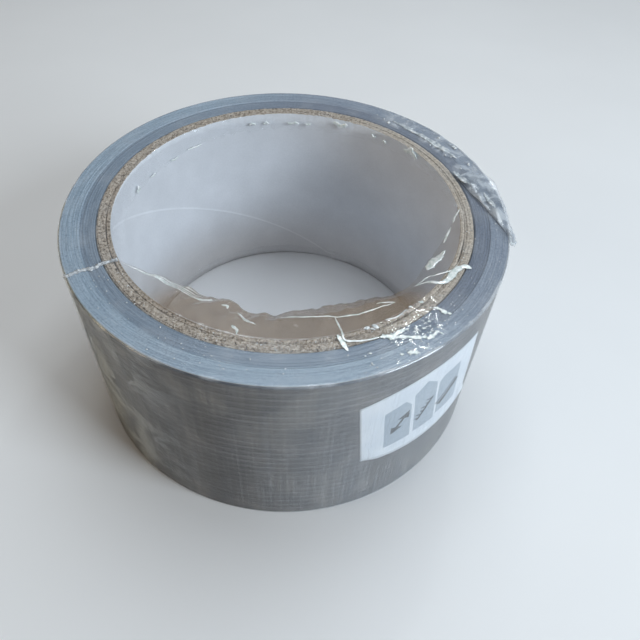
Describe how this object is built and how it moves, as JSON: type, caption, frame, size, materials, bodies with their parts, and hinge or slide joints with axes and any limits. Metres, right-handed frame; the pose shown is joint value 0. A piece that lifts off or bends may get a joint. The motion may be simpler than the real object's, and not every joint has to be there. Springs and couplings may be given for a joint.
{
  "type": "duct tape roll",
  "caption": "Roll of silver cloth-backed tape wound on a lined board core, with a paper label, sealed in clear shrink film and lying flat.",
  "frame": {"origin": "on the axis of the core's hole, in the plane that the roll rests on", "axes": "+Z along the roll's axis, up; +X to the right and +Y to the back, with the label on the front right"},
  "size_m": [0.0997, 0.0976, 0.0511],
  "materials": {
    "liner_paper": "smooth white paper, slightly bluish",
    "inner_board": "thin light board ply, slightly frayed at its cut ends",
    "core_board": "speckled grey-brown recycled board",
    "tape_edge": "cut edges of many thin turns, bluish grey with fine circular lines",
    "tape_gum": "tacky rubber gum",
    "tape_scrim": "open gauze of fine yarns",
    "tape_backing": "satin silver-grey film with fine ribs from the yarns beneath",
    "label_paper": "white coated paper with grey printed panels",
    "shrink_film": "clear glossy shrink film, wrinkled and taut",
    "film_seam": "whitish welded and crumpled film"
  },
  "bodies": {
    "root": {"core_liner": "liner_paper", "core_ply_1": "inner_board", "core_ply_2": "core_board", "core_ply_3": "core_board", "core_ply_4": "core_board", "core_ply_5": "core_board", "tape_winding": "tape_edge", "last_turn_adhesive": "tape_gum", "last_turn_scrim": "tape_scrim", "last_turn_backing": "tape_backing", "length_label": "label_paper", "film_front_panel": "shrink_film", "film_back_panel": "shrink_film", "film_seam_left": "film_seam", "film_seam_right": "film_seam"}
  },
  "joints": []
}
